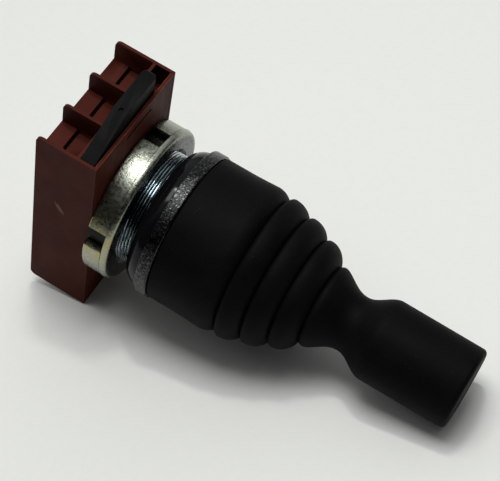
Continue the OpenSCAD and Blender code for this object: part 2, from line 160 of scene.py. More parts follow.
def noise(tree, scale, detail=3.0, roughness=0.55, stretch=None):
    """Fractal noise with `scale` features per metre, stretched if asked."""
    place = coordinates(tree)
    pattern = put(tree, "TexNoise", Scale=scale, Detail=detail, Roughness=roughness)
    if stretch:
        squeeze = put(tree, "Mapping")
        squeeze.inputs["Scale"].default_value = stretch
        wire(tree, place, "Object", squeeze, "Vector")
        wire(tree, squeeze, "Vector", pattern, "Vector")
    else:
        wire(tree, place, "Object", pattern, "Vector")
    return pattern


def ramp(tree, source, output, stops):
    """Colour ramp with stops [(position, (r, g, b)), ...]."""
    made = put(tree, "ValToRGB")
    bar = made.color_ramp
    while len(bar.elements) < len(stops):
        bar.elements.new(0.5)
    for element, (at, colour) in zip(bar.elements, stops):
        element.position = at
        element.color = (*colour, 1.0)
    wire(tree, source, output, made, "Fac")
    return made


def grey_ramp(tree, source, output, low, high, start=0.3, end=0.7):
    """A ramp that gives numbers: `low` below start, `high` above end."""
    return ramp(tree, source, output, [(start, (low,) * 3), (end, (high,) * 3)])


def remap(tree, source, output, start, end, low=0.0, high=1.0, smooth=True):
    """Changes a number: `low` below start, `high` above end, a curve between."""
    made = put(tree, "MapRange", interpolation_type="SMOOTHSTEP" if smooth else "LINEAR")
    for socket, value in (("From Min", start), ("From Max", end),
                          ("To Min", low), ("To Max", high)):
        made.inputs[socket].default_value = value
    wire(tree, source, output, made, "Value")
    return made


# %% Mixing and bumps
MIX_FACTOR, MIX_A, MIX_B, MIX_RESULT = 0, 6, 7, 2


def mix_colours(tree, factor, first, second, mode="MIX"):
    """Mixes two colours. Each value is a (node, output) pair, or plain: a number
    for the factor and (r, g, b) for a colour. Returns the mixed colour's pair."""
    made = put(tree, "Mix", data_type="RGBA", blend_type=mode)
    for value, socket in ((factor, MIX_FACTOR), (first, MIX_A), (second, MIX_B)):
        if isinstance(value, float):
            made.inputs[socket].default_value = value
        elif isinstance(value[0], bpy.types.Node):
            wire(tree, *value, made, socket)
        else:
            made.inputs[socket].default_value = (*value, 1.0)
    return made, MIX_RESULT


def combine(tree, operation, first, second):
    """One sum of two numbers, such as MULTIPLY or ADD; the first is a (node,
    output) pair and the second a pair or a plain number. Returns a pair."""
    made = put(tree, "Math", operation=operation)
    wire(tree, *first, made, 0)
    if isinstance(second, float):
        made.inputs[1].default_value = second
    else:
        wire(tree, *second, made, 1)
    return made, "Value"


def bumps(tree, shader, layers):
    """Chains Bump nodes; each layer is (node, output, height in metres)."""
    last = None
    for source, output, height in layers:
        made = put(tree, "Bump", Strength=1.0, Distance=height)
        wire(tree, source, output, made, "Height")
        if last:
            wire(tree, last, "Normal", made, "Normal")
        last = made
    wire(tree, last, "Normal", shader, "Normal")


# %% [markdown]
# ## Table and light
# The table is a plain sheet of pale paper. A solid slab would hide the part from
# below, so it is one face that only its upper side shows: from underneath the
# camera sees through it, while the light still bounces off it.

# %% Table
AWAY = (look - look.dot(UP) * UP).normalized()
RIGHT = AWAY.cross(UP).normalized()
LOWER_EDGE = Vector((0, -0.023, -0.0076))
GAP = 0.0003
TABLE_HALF = 0.6

paper, tree, shader = new_finish("pale_paper")
grain = noise(tree, 900.0, 2.0)
tint = ramp(tree, grain, "Fac", [(0.2, (0.80, 0.805, 0.775)), (0.8, (0.82, 0.825, 0.795))])
wire(tree, tint, "Color", shader, "Base Color")
shader.inputs["Roughness"].default_value = 0.9
shader.inputs["Specular IOR Level"].default_value = 0.1
below = combine(tree, "MULTIPLY", (put(tree, "NewGeometry"), "Backfacing"),
                (put(tree, "LightPath"), "Is Camera Ray"))
choose = put(tree, "MixShader")
wire(tree, *below, choose, 0)
wire(tree, shader, 0, choose, 1)
wire(tree, put(tree, "BsdfTransparent"), 0, choose, 2)
wire(tree, choose, "Shader", built_in(tree, "OUTPUT_MATERIAL"), "Surface")

rest_height = UP.dot(LOWER_EDGE) - GAP
corners = [UP * rest_height + (RIGHT * a + AWAY * b) * TABLE_HALF for a, b in
           ((-1, -1), (1, -1), (1, 1), (-1, 1))]
table_mesh = bpy.data.meshes.new("table")
table_mesh.from_pydata([tuple(c) for c in corners], [], [(0, 1, 2, 3)])
table_mesh.materials.append(paper)
table = bpy.data.objects.new("table", table_mesh)
bpy.context.collection.objects.link(table)
print("table normal", [round(v, 3) for v in table_mesh.polygons[0].normal])

# %% [markdown]
# Black rubber and bright metal need opposite light. An even sky would turn the
# rubber grey and leave the metal flat. So the sky is bright above and behind the
# part and dark on the near side, which gives the metal something dark to mirror.
# Past the table's edge the camera sees a plain pale backdrop in its place.

# %% Sky
world = bpy.data.worlds.new("soft_sky")
bpy.context.scene.world = world
world.use_nodes = True
tree = world.node_tree
sky = built_in(tree, "BACKGROUND")
sky.inputs["Color"].default_value = (0.97, 1.0, 0.99, 1.0)
facing = put(tree, "VectorMath", operation="DOT_PRODUCT")
facing.inputs[1].default_value = (UP * 0.85 + AWAY * 0.52).normalized()
wire(tree, put(tree, "TexCoord"), "Generated", facing, 0)
glow = remap(tree, facing, "Value", 0.28, 1.0, 0.012, 0.80)
wire(tree, glow, "Result", sky, "Strength")
backdrop = put(tree, "Background", Color=(0.76, 0.77, 0.735, 1.0), Strength=1.0)
choose = put(tree, "MixShader")
wire(tree, put(tree, "LightPath"), "Is Camera Ray", choose, 0)
wire(tree, sky, 0, choose, 1)
wire(tree, backdrop, 0, choose, 2)
wire(tree, choose, "Shader", built_in(tree, "OUTPUT_WORLD"), "Surface")
print("sky brightest toward", [round(v, 2) for v in facing.inputs[1].default_value])

# %% [markdown]
# One wide lamp stands almost straight above, like a window in a ceiling, and
# gives the broad highlights and the soft shadow. A small bright pane beside it
# leaves the short glints on the gasket, the bezel and the nut, which a single
# wide lamp would smear out.

# %% Lamps
LAMP_AWAY = 0.50


def lamp(name, turned_right, raised, size, power):
    """A rectangular soft lamp that looks at the part from LAMP_AWAY metres. Its
    direction is UP sin e + (AWAY cos a + RIGHT sin a) cos e, where e is `raised`
    and a is `turned_right`, in degrees."""
    data = bpy.data.lights.new(name, "AREA")
    data.shape = "RECTANGLE"
    data.size, data.size_y = size
    data.energy = power
    made = bpy.data.objects.new(name, data)
    level, round_ = math.radians(raised), math.radians(turned_right)
    toward_lamp = (UP * math.sin(level) + math.cos(level) * (
        AWAY * math.cos(round_) + RIGHT * math.sin(round_)))
    made.location = AIM + toward_lamp * LAMP_AWAY
    made.rotation_mode = "QUATERNION"
    made.rotation_quaternion = (-toward_lamp).to_track_quat("-Z", "Y")
    bpy.context.collection.objects.link(made)
    print(f"{name}: {size[0] / MM:.0f} x {size[1] / MM:.0f} mm, {power} W")


lamp("window_lamp", 25, 89, (0.20, 0.27), 1.38)
lamp("bright_pane", 36, 80, (0.025, 0.055), 0.34)

# %% [markdown]
# ## Finishes
# Each finish starts from what makes the real surface look as it does: the colour
# of the bulk, what the mould or the plating leaves behind, and what handling does
# to the edges.
#
# The block and its slider are moulded in a hard, dull plastic. One brown would
# look like paint. Here clouds vary the colour, and the edges that carry the `edge`
# mark are pale in patches, partly as rubbed wear and partly as a painted highlight.
# Fine dust sits everywhere, and the front has the short drawn marks of being pushed
# along a panel. One scuff is placed by itself.

# %% A scuff
def scuff_mark(tree, place, size, turn):
    """1 inside a rough ellipse at `place` with half axes `size`, both in mm, turned
    by `turn` degrees about X; 0 outside. The rim is where half of (distance over
    half axis, plus noise) passes a limit, so it is ragged."""
    local = put(tree, "Mapping", vector_type="TEXTURE")
    local.inputs["Location"].default_value = Vector(place) * MM
    local.inputs["Rotation"].default_value = (math.radians(turn), 0, 0)
    local.inputs["Scale"].default_value = Vector(size) * MM
    wire(tree, coordinates(tree), "Object", local, "Vector")
    far = put(tree, "VectorMath", operation="LENGTH")
    wire(tree, local, "Vector", far, 0)
    ragged = combine(tree, "ADD", (far, "Value"), (noise(tree, 2400.0, 3.0), "Fac"))
    half = combine(tree, "MULTIPLY", ragged, 0.5)
    return grey_ramp(tree, *half, 0.8, 0.0, 0.55, 0.72)


# %% Moulded plastic
FRONT_PLATE = (-0.0078, -0.0077)
SCUFF_COLOUR = (0.16, 0.12, 0.10)


def moulded_plastic(name, dark, light, wear_and_edge_highlight, rough, specular, scuffs=()):
    """Thermoset: cloudy colour, fine flow grain, pale edges (partly rubbed wear, partly
    a painted highlight) and scuffs. The drawn marks show only above the heights of
    FRONT_PLATE, in metres."""
    finish, tree, shader = new_finish(name)
    clouds = noise(tree, 140.0, 4.0, 0.6)
    colour = (ramp(tree, clouds, "Fac", [(0.3, dark), (0.7, light)]), "Color")
    patches = grey_ramp(tree, noise(tree, 420.0, 5.0, 0.65), "Fac", 0.3, 1.0, 0.42, 0.66)
    # Pale edges in patches: partly rubbed wear, partly a painted highlight.
    edge = put(tree, "Attribute", attribute_name="edge")
    rubbed_and_highlit_edges = combine(tree, "MULTIPLY", (edge, "Fac"), (patches, "Color"))
    colour = mix_colours(tree, rubbed_and_highlit_edges, colour, wear_and_edge_highlight)
    dust = noise(tree, 2600.0, 2.0, 0.5)
    specks = grey_ramp(tree, dust, "Fac", 0.0, 0.12, 0.66, 0.74)
    colour = mix_colours(tree, (specks, "Color"), colour, wear_and_edge_highlight)
    lines = noise(tree, 1500.0, 3.0, 0.6, (1.0, 0.06, 1.0))
    drawn = grey_ramp(tree, lines, "Fac", 0.0, 0.28, 0.56, 0.70)
    height = put(tree, "SeparateXYZ")
    wire(tree, coordinates(tree), "Object", height, "Vector")
    front = remap(tree, height, "Z", *FRONT_PLATE, smooth=False)
    scratched = combine(tree, "MULTIPLY", (drawn, "Color"), (front, "Result"))
    colour = mix_colours(tree, scratched, colour, wear_and_edge_highlight)
    for place, size, turn in scuffs:
        mark = scuff_mark(tree, place, size, turn)
        colour = mix_colours(tree, (mark, "Color"), colour, SCUFF_COLOUR)
    wire(tree, *colour, shader, "Base Color")
    smear = noise(tree, 260.0, 5.0, 0.6, (1.0, 0.5, 1.0))
    gloss = grey_ramp(tree, smear, "Fac", rough - 0.05, rough + 0.10)
    wire(tree, gloss, "Color", shader, "Roughness")
    shader.inputs["Specular IOR Level"].default_value = specular
    bumps(tree, shader, [(dust, "Fac", 0.000012), (smear, "Fac", 0.000012)])
    print(f"{name}: {len(tree.nodes)} nodes")
    return finish


housing_plastic = moulded_plastic(
    "housing_plastic", (0.050, 0.0102, 0.0066), (0.070, 0.0142, 0.0090), (0.22, 0.058, 0.034),
    0.50, 0.035, [((-12.5, 4.9, -14.2), (1.0, 1.9, 0.55), -35)])
black_plastic = moulded_plastic(
    "black_plastic", (0.0036, 0.0037, 0.0038), (0.0056, 0.0057, 0.0059), (0.022, 0.022, 0.023),
    0.48, 0.035)
ivory_plastic = moulded_plastic(
    "ivory_plastic", (0.56, 0.54, 0.46), (0.62, 0.60, 0.52), (0.7, 0.69, 0.63), 0.4, 0.4)

# %% [markdown]
# The nut is a casting under a thin plate: cloudy, pitted, with a yellowish stain
# on one side. Painted shade darkens it toward the axis, over its notch floors and
# the inner part of its front face, and darkens the bush's thread roots the same
# way. The bush is turned metal, brighter and bluer. Two separate graphs would
# repeat each other, since a metal shows little but what it mirrors. So one
# function makes both: dark clouds and deep pits say "cast", and a low roughness
# with fine lines says "turned".

# %% Numbers that follow a radius or a direction
def near_axis(tree, inner, outer, low, high):
    """A number that goes from `low` at radius `inner` to `high` at `outer` (in mm)."""
    flat = put(tree, "Mapping")
    flat.inputs["Scale"].default_value = (1.0, 1.0, 0.0)
    wire(tree, coordinates(tree), "Object", flat, "Vector")
    radius = put(tree, "VectorMath", operation="LENGTH")
    wire(tree, flat, "Vector", radius, 0)
    return remap(tree, radius, "Value", inner * MM, outer * MM, low, high)


def toward(tree, degrees, start, end):
    """A number that goes from 0 to 1 as x cos d + y sin d goes from start to end."""
    facing = put(tree, "VectorMath", operation="DOT_PRODUCT")
    d = math.radians(degrees)
    facing.inputs[1].default_value = (math.cos(d), math.sin(d), 0.0)
    wire(tree, coordinates(tree), "Object", facing, 0)
    return remap(tree, facing, "Value", start, end)


# %% Metals
STAIN_REACH = (0.0125, 0.0152)
# Share of the colour left where the painted shade is darkest.
PAINTED_SHADE_LEFT = 0.05


def plated_metal(name, dark, light, rough, grain=700.0, pits=0.00002, painted_shade=None,
                 stain=None, stain_at=0.0):
    """Metal under a thin plate: cloudy brightness, pits of `pits` metres and fine
    scratches. The painted shade for recesses runs over (inner, outer) in mm: dark at
    the inner radius, unshaded at the outer one. A `stain` colour gathers round the
    direction `stain_at` degrees."""
    finish, tree, shader = new_finish(name)
    shader.inputs["Metallic"].default_value = 1.0
    clouds = noise(tree, grain, 5.0, 0.65)
    colour = (ramp(tree, clouds, "Fac", [(0.3, dark), (0.7, light)]), "Color")
    if stain:
        patches = noise(tree, 420.0, 5.0, 0.65)
        amount = grey_ramp(tree, patches, "Fac", 0.1, 1.0, 0.40, 0.60)
        close = toward(tree, stain_at, *STAIN_REACH)
        stained = combine(tree, "MULTIPLY", (close, "Result"), (amount, "Color"))
        colour = mix_colours(tree, stained, colour, stain)
    # Painted shade for recesses: the colour darkens toward the axis.
    if painted_shade:
        unshaded = near_axis(tree, *painted_shade, PAINTED_SHADE_LEFT, 1.0)
        colour = mix_colours(tree, 1.0, colour, (unshaded, "Result"), "MULTIPLY")
    wire(tree, *colour, shader, "Base Color")
    scratches = noise(tree, 1500.0, 3.0, 0.6, (1.0, 1.0, 6.0))
    gloss = grey_ramp(tree, clouds, "Fac", rough - 0.06, rough + 0.12)
    wire(tree, gloss, "Color", shader, "Roughness")
    bumps(tree, shader, [(scratches, "Fac", 0.000006), (clouds, "Fac", pits)])
    print(f"{name}: {len(tree.nodes)} nodes")
    return finish


# Painted shade: the nut darkens inward from 15.25 mm over its notch floors and inner front
# face, the bush over its thread roots.
nut_metal = plated_metal("nut_metal", (0.24, 0.255, 0.21), (0.42, 0.44, 0.37), 0.25,
                         grain=1500.0, pits=0.00006, painted_shade=(13.9, 15.25),
                         stain=(0.38, 0.33, 0.15), stain_at=162)
bush_metal = plated_metal("bush_metal", (0.40, 0.48, 0.52), (0.66, 0.76, 0.80), 0.15,
                          painted_shade=(10.72, 10.98))
steel = plated_metal("steel", (0.45, 0.45, 0.45), (0.6, 0.6, 0.6), 0.26)
spring_steel = plated_metal("spring_steel", (0.36, 0.36, 0.37), (0.5, 0.5, 0.51), 0.3)
brass = plated_metal("brass", (0.5, 0.36, 0.14), (0.64, 0.47, 0.2), 0.28)
copper_alloy = plated_metal("copper_alloy", (0.46, 0.28, 0.12), (0.6, 0.38, 0.18), 0.3)
screw_steel = plated_metal("screw_steel", (0.5, 0.51, 0.5), (0.68, 0.69, 0.66), 0.24)

# %% [markdown]
# The bezel is blasted metal under a worn grey coat. Its grain sparkles: each tiny
# facet is either dark or bright. A rough metal would only blur the light, so the
# metal stays fairly smooth and a bump of 0.09 mm turns its facets, while the same
# speckle gives them their three greys.

# %% Bezel metal
bezel_metal, tree, shader = new_finish("bezel_metal")
shader.inputs["Metallic"].default_value = 1.0
speckle = noise(tree, 2400.0, 4.0, 0.7)
clouds = noise(tree, 260.0, 4.0, 0.65)
greys = ramp(tree, speckle, "Fac", [
    (0.38, (0.012, 0.013, 0.013)), (0.56, (0.045, 0.048, 0.047)), (0.72, (0.26, 0.275, 0.27))])
dirt = grey_ramp(tree, clouds, "Fac", 0.55, 1.0, 0.4, 0.62)
soiled = mix_colours(tree, 1.0, (greys, "Color"), (dirt, "Color"), "MULTIPLY")
wire(tree, *soiled, shader, "Base Color")
gloss = grey_ramp(tree, clouds, "Fac", 0.20, 0.32)
wire(tree, gloss, "Color", shader, "Roughness")
bumps(tree, shader, [(speckle, "Fac", 0.00009)])
print(f"bezel_metal: {len(tree.nodes)} nodes")

# %% [markdown]
# The gaiter and the grip are one matt black rubber, and the gasket is a smooth,
# nearly wet one. Both are far darker than they seem, because most of what reaches
# the eye is light off the surface. So the colour is almost none, and the specular
# level, the roughness and the grain carry the look, with a little dust on top.

# %% Rubbers
DUST_COLOUR = (0.05, 0.048, 0.04)


def rubber(name, dark, light, rough, specular, grain_height, dust_amount):
    """Black rubber: nearly no colour, a broad soft sheen and a little dust."""
    finish, tree, shader = new_finish(name)
    clouds = noise(tree, 170.0, 4.0, 0.6)
    blacks = ramp(tree, clouds, "Fac", [(0.3, dark), (0.75, light)])
    dust = noise(tree, 3000.0, 2.0, 0.6)
    specks = grey_ramp(tree, dust, "Fac", 0.0, dust_amount, 0.68, 0.76)
    dusty = mix_colours(tree, (specks, "Color"), (blacks, "Color"), DUST_COLOUR)
    wire(tree, *dusty, shader, "Base Color")
    gloss = grey_ramp(tree, clouds, "Fac", rough - 0.05, rough + 0.08)
    wire(tree, gloss, "Color", shader, "Roughness")
    shader.inputs["Specular IOR Level"].default_value = specular
    grain = noise(tree, 1900.0, 3.0, 0.6)
    bumps(tree, shader, [(grain, "Fac", grain_height)])
    print(f"{name}: {len(tree.nodes)} nodes")
    return finish


gaiter_rubber = rubber("gaiter_rubber", (0.0024, 0.0024, 0.0023), (0.0040, 0.0040, 0.0038),
                       0.58, 0.040, 0.00003, 0.30)
gasket_rubber = rubber("gasket_rubber", (0.003, 0.003, 0.0035), (0.005, 0.005, 0.006),
                       0.07, 0.12, 0.000010, 0.1)

# %% [markdown]
# The pieces inside need no new shape, since no view from outside shows them. They
# stay CAD nodes, and each gets the finish that its material slot names.

# %% Finishes for the CAD nodes
FINISH_OF = {
    "housing": housing_plastic, "black_plastic": black_plastic, "bush_metal": bush_metal,
    "nut_metal": nut_metal, "bezel_metal": bezel_metal, "gasket_rubber": gasket_rubber,
    "gaiter_rubber": gaiter_rubber, "steel": steel, "spring_steel": spring_steel,
    "brass": brass, "copper_alloy": copper_alloy, "ivory_plastic": ivory_plastic,
    "screw_steel": screw_steel,
}
SLOT_OF = {part["node"]: part["material_slot"] for part in frame["record"]["subparts"]}
for name, piece in nodes.items():
    piece.data.materials.clear()
    piece.data.materials.append(FINISH_OF[SLOT_OF[name]])
print(len(nodes), "CAD nodes dressed")

# %% [markdown]
# ## Contact block
# The housing, its cover and the locking slider are moulded, and a mould leaves no
# knife edge. They have the right shape in the CAD model, so nothing is drawn
# again: a copy of each gets its loose triangles merged into flat faces and its
# outer edges rounded with a bevel. The faces of that bevel carry a mark, `edge`,
# which the plastic's finish reads to make them pale: partly rubbed wear, partly a
# painted highlight.

# %% Rounded copies of moulded parts
CREASE = 40


def shade(piece, sharp):
    """Smooth shading with a crease where faces meet at more than `sharp` degrees."""
    piece.data.shade_smooth()
    piece.data.set_sharp_from_angle(angle=math.radians(sharp))


def weigh_normals(piece):
    """Lets wide faces set the normals of their corners, so that a flat face stays
    flat in the light and only the rounding between two of them looks round."""
    weigh = piece.modifiers.new("weigh", "WEIGHTED_NORMAL")
    weigh.mode = "FACE_AREA"
    weigh.weight = 100
    weigh.keep_sharp = True
    bpy.context.view_layer.update()
    ready = piece.evaluated_get(bpy.context.evaluated_depsgraph_get())
    mesh = bpy.data.meshes.new_from_object(ready)
    piece.modifiers.clear()
    piece.data = mesh


def rounded_copy(node, cut, finish, steps=2, fold=35):
    """Copies a CAD node, merges its triangles and bevels by `cut` mm each convex
    edge whose faces meet at more than `fold` degrees."""
    work = bmesh.new()
    work.from_mesh(nodes[node].data)
    bmesh.ops.remove_doubles(work, verts=work.verts, dist=2e-6)
    bmesh.ops.dissolve_limit(work, angle_limit=math.radians(1.0), verts=work.verts,
                             edges=work.edges, use_dissolve_boundaries=False)
    limit = math.radians(fold)
    edges = [e for e in work.edges
             if e.is_manifold and e.is_convex and e.calc_face_angle(0) > limit]
    mark = work.faces.layers.float.new("edge")
    done = bmesh.ops.bevel(work, geom=edges, offset=cut * MM, offset_type="OFFSET",
                           segments=steps, profile=0.5, affect="EDGES",
                           clamp_overlap=True, loop_slide=True)
    for face in done["faces"]:
        face[mark] = 1.0
    mesh = bpy.data.meshes.new(node + "_moulded")
    work.to_mesh(mesh)
    work.free()
    mesh.materials.append(finish)
    piece = bpy.data.objects.new(node + "_moulded", mesh)
    bpy.context.collection.objects.link(piece)
    shade(piece, CREASE)
    weigh_normals(piece)
    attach(piece, nodes[node]["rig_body"])
    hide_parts(node)
    print(f"{piece.name}: {len(edges)} edges rounded, {len(mesh.polygons)} faces")
    return piece


rounded_copy("contact_housing", 0.16, housing_plastic)
rounded_copy("front_cover", 0.10, housing_plastic)
rounded_copy("lock_slider", 0.18, black_plastic)

# %% [markdown]
# ## Turned surfaces
# Almost every other visible piece is round: an outline in the (radius, height)
# plane goes round the lever's axis. Blender's Screw modifier could turn it too, but
# it knows only plain circles. One function that works out the whole grid of points
# at once can also change the radius on the way, for a thread or for a notch. It
# needs three small helpers first, which the springs use as well.

# %% Meshes from arrays
SAME_POINT = 1e-7


def make_piece(name, points, faces, finish, sharp):
    """Links a mesh object from points in millimetres and a face array."""
    mesh = bpy.data.meshes.new(name)
    mesh.from_pydata(np.asarray(points) * MM, [], np.asarray(faces).tolist())
    mesh.validate()
    mesh.materials.append(finish)
    piece = bpy.data.objects.new(name, mesh)
    bpy.context.collection.objects.link(piece)
    shade(piece, sharp)
    print(f"{name}: {len(mesh.vertices)} points, {len(mesh.polygons)} faces")
    return piece


def close_poles(piece, sharp):
    """Merges the points that a surface leaves on top of each other at a pole."""
    work = bmesh.new()
    work.from_mesh(piece.data)
    bmesh.ops.remove_doubles(work, verts=work.verts, dist=SAME_POINT)
    work.to_mesh(piece.data)
    work.free()
    shade(piece, sharp)


def grid_faces(rows, columns, closed):
    """Four corners (i, j), (i, j+1), (i+1, j+1), (i+1, j) for each cell of a grid
    that closes in j. Where it is closed in i too, the last row meets the first."""
    i, j = np.meshgrid(np.arange(rows if closed else rows - 1), np.arange(columns),
                       indexing="ij")
    i2, j2 = (i + 1) % rows, (j + 1) % columns
    return np.stack([i * columns + j, i * columns + j2, i2 * columns + j2,
                     i2 * columns + j], -1).reshape(-1, 4)


# %% An outline turned about the lever's axis
ON_AXIS = 1e-6


def turned(name, outline, finish, rings=160, change=None, angles=None, sharp=50):
    """Turns a closed outline [r, z] about Z: the point for outline i and angle a is
    (r_i cos a, r_i sin a, z_i). change(r, z, a) may return other radii first. An
    outline that runs clockwise is reversed, so that its faces point outwards."""
    line = np.asarray(outline, float)
    area = np.sum(line[:, 0] * np.roll(line[:, 1], -1) - np.roll(line[:, 0], -1) * line[:, 1])
    if area < 0:
        line = line[::-1]
    a = np.linspace(0, 2 * np.pi, rings, endpoint=False) if angles is None else angles
    r, z = np.broadcast_to(line[:, :1], (len(line), len(a))), line[:, 1:] + 0 * a[None, :]
    if change is not None:
        r = change(r, z, a[None, :])
    points = np.stack([r * np.cos(a), r * np.sin(a), z], -1).reshape(-1, 3)
    piece = make_piece(name, points, grid_faces(len(line), len(a), True), finish, sharp)
    if np.any(line[:, 0] < ON_AXIS):
        close_poles(piece, sharp)
    return piece


# %% Where the round CAD pieces are
def reach(node):
    """Widest x, lowest z and highest z of a CAD node, in millimetres."""
    low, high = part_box(node)
    return max(-low[0], high[0]) / MM, low[2] / MM, high[2] / MM


bush_wide, bush_low, bush_high = reach("threaded_bush")
nut_wide, nut_low, nut_high = reach("ring_nut")
_, gasket_low, gasket_high = reach("panel_gasket")
bezel_wide, bezel_low, bezel_high = reach("bezel_ring")
print("thread seen from", round(nut_high, 2), "to", round(gasket_low, 2), "mm")

# %% [markdown]
# ## Threaded bush
# A thread is a ridge that climbs round the bush. A helix swept along it would be
# a second surface that cuts through the first. On a turned surface the same ridge
# is only a change of radius: depth times a wave in z/pitch minus a/360. The CAD
# solid is plain there, so the ridges are cut inward and the crests keep its
# diameter.

# %% Bush with its thread
BUSH_R = 11.0
PITCH = 0.55
DEPTH = 0.30
CREST_POWER = 1.3
FLANGE_THICK = 0.8
TAIL_LIP = 0.55


def thread_cut(r, z, a):
    """r - depth * (1 - crest), where crest is a pointed wave of z/pitch - a/2pi
    that goes from 0 to 1, raised to 1.3 to narrow its top. It is cut only on the
    outside, between the nut's back and the gasket."""
    phase = (z / PITCH - a / (2 * np.pi)) * 2 * np.pi
    crest = np.abs(1 - (phase / np.pi) % 2) ** CREST_POWER
    on = (r > BUSH_R - 0.01) & (z < gasket_low + 0.1) & (z > nut_low + 0.3)
    return np.where(on, r - DEPTH * (1 - crest), r)


bore = BUSH_R - 2.1
tail = BUSH_R - 1.6
groove = tail - 1.0
tail_bore = 6.9
cover_back = nut_low - 0.6
thread_z = np.linspace(nut_low + 0.35, gasket_low + 0.05, 150)
lower = [[bore, bush_high], [bore, nut_low + 1], [tail_bore, nut_low + 0.4],
         [tail_bore, bush_low], [tail, bush_low], [tail, bush_low + TAIL_LIP],
         [groove, bush_low + TAIL_LIP], [groove, cover_back - 0.1], [tail, cover_back - 0.1],
         [tail, nut_low], [BUSH_R - 0.6, nut_low], [BUSH_R, nut_low + 0.3]]
upper = [[BUSH_R, gasket_high], [bush_wide, gasket_high],
         [bush_wide, gasket_high + FLANGE_THICK], [BUSH_R - 0.1, gasket_high + FLANGE_THICK],
         [BUSH_R - 0.1, bush_high]]
outline = np.vstack([lower, np.stack([np.full_like(thread_z, BUSH_R), thread_z], 1), upper])
bush = turned("bush_threaded", outline, bush_metal, 200, thread_cut, sharp=60)
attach(bush, "base")
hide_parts("threaded_bush")

# %% [markdown]
# ## Ring nut
# The nut is a ring with four spanner notches cut in from its back, a seam just
# past them, and a rounded front corner. Cutting the notches with a Boolean would
# leave long thin faces that spoil the shine of the rounding. Here the radius drops
# to the notch floor over a narrow wall, and only below the notch's upper end, so
# both limits are steps in one radius function. The angles lie close together at
# the walls, where the radius changes fast, and wide apart elsewhere.

# %% Ring nut
NOTCHES = 4
FIRST_NOTCH = math.radians(72)
NOTCH_HALF = 2.1
NOTCH_DEEP = 1.5
WALL_LEAN = 0.12
CORNER = 1.2
BACK_ROUND = 0.35
BODY_IN = 0.12
SEAM = 0.16
notch_top = nut_high - CORNER - 0.2
floor_r = nut_wide - NOTCH_DEEP
body_r = nut_wide - BODY_IN


def notch_cut(r, z, a):
    """Radius limited to the notch floor where the point is closer than the half
    width to a notch's middle line and lower than its upper end. Each wall is a
    ramp (distance / lean + 0.5), held between 0 and 1."""
    middle = FIRST_NOTCH + np.round((a - FIRST_NOTCH) / (2 * np.pi / NOTCHES)) * (
        2 * np.pi / NOTCHES)
    across = np.abs(nut_wide * np.sin(a - middle))
    inside = np.clip((NOTCH_HALF - across) / WALL_LEAN + 0.5, 0, 1)
    below = np.clip((notch_top - z) / WALL_LEAN + 0.5, 0, 1)
    return np.where(r > floor_r, r - (r - floor_r) * inside * below, r)


# %% Outline and angles of the nut
arc = np.radians(np.linspace(0, 90, 9))
back = [[BUSH_R + 0.05, nut_low + 0.3], [BUSH_R + 0.35, nut_low]]
back_face = np.stack([[floor_r - 0.4, floor_r - 0.02, floor_r + 0.4, body_r - BACK_ROUND],
                      [nut_low] * 4], 1)
back_rim = np.stack([body_r - BACK_ROUND + BACK_ROUND * np.sin(arc[::2]),
                     nut_low + BACK_ROUND - BACK_ROUND * np.cos(arc[::2])], 1)
wall_z = np.concatenate([np.linspace(nut_low + BACK_ROUND, notch_top - WALL_LEAN, 8),
                         notch_top + np.array([-0.06, -0.03, 0.0, 0.03])])
wall = np.stack([np.full_like(wall_z, body_r), wall_z], 1)
seam = np.array([[body_r, 0.04], [body_r - SEAM, 0.07], [body_r - SEAM, 0.13],
                 [nut_wide - 0.05, 0.16]]) + [0, notch_top]
rim = np.stack([nut_wide - CORNER / 2 + CORNER / 2 * np.cos(arc),
                nut_high - CORNER + CORNER * np.sin(arc)], 1)
front = [[BUSH_R + 0.8, nut_high], [BUSH_R + 0.05, nut_high - 0.75]]
outline = np.vstack([back, back_face, back_rim[1:], wall[1:], seam, rim, front])

wide_steps = np.radians(np.linspace(-45, 45, 46))[:-1]
fine_steps = np.arcsin(NOTCH_HALF / nut_wide) + np.linspace(-0.008, 0.008, 7)
quarter = np.unique(np.concatenate([wide_steps, fine_steps, -fine_steps]))
around = np.concatenate([FIRST_NOTCH + k * np.pi / 2 + quarter for k in range(NOTCHES)])
nut = turned("ring_nut_plated", outline, nut_metal,
             change=notch_cut, angles=around, sharp=38)
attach(nut, "base")
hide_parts("ring_nut")

# %% [markdown]
# ## Gasket and bezel
# The gasket bulges out of the gap as a smooth dome, the shiniest surface here. A
# plain quarter circle would bulge too much, so the cosine of its outline is raised
# to a power, which keeps its waist slim and lets it swell only near the bezel.

# %% Gasket
DOME_FOOT = 1.3
DOME_LEAN = 1.9
DOME_DOWN = 0.5
gasket_r = bezel_wide - 0.9
t = np.radians(np.linspace(-80, 0, 20))
bulge = gasket_r - BUSH_R - DOME_FOOT
dome = np.stack([BUSH_R + DOME_FOOT + bulge * np.cos(t) ** DOME_LEAN,
                 gasket_high - DOME_DOWN + (gasket_high - DOME_DOWN) * np.sin(t)], 1)
foot = [[BUSH_R + 0.02, gasket_low], [BUSH_R + 1.2, gasket_low]]
shut = [[gasket_r, gasket_high - 0.02], [BUSH_R + 0.02, gasket_high - 0.02]]
gasket = turned("gasket_smooth", np.vstack([foot, dome, shut]), gasket_rubber)
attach(gasket, "base")
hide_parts("panel_gasket")

# %% [markdown]
# The bezel is a plain band whose lip holds the foot of the gaiter. Its corners
# decide how it looks, since a rounded one catches the light and a sharp one
# doesn't. So its outline is written with sharp corners, and one function rounds
# each of them by its own amount.

# %% Bezel
LIP_WIDE = 0.75
LIP_THICK = 0.8
RUBBER_GAP = 0.05


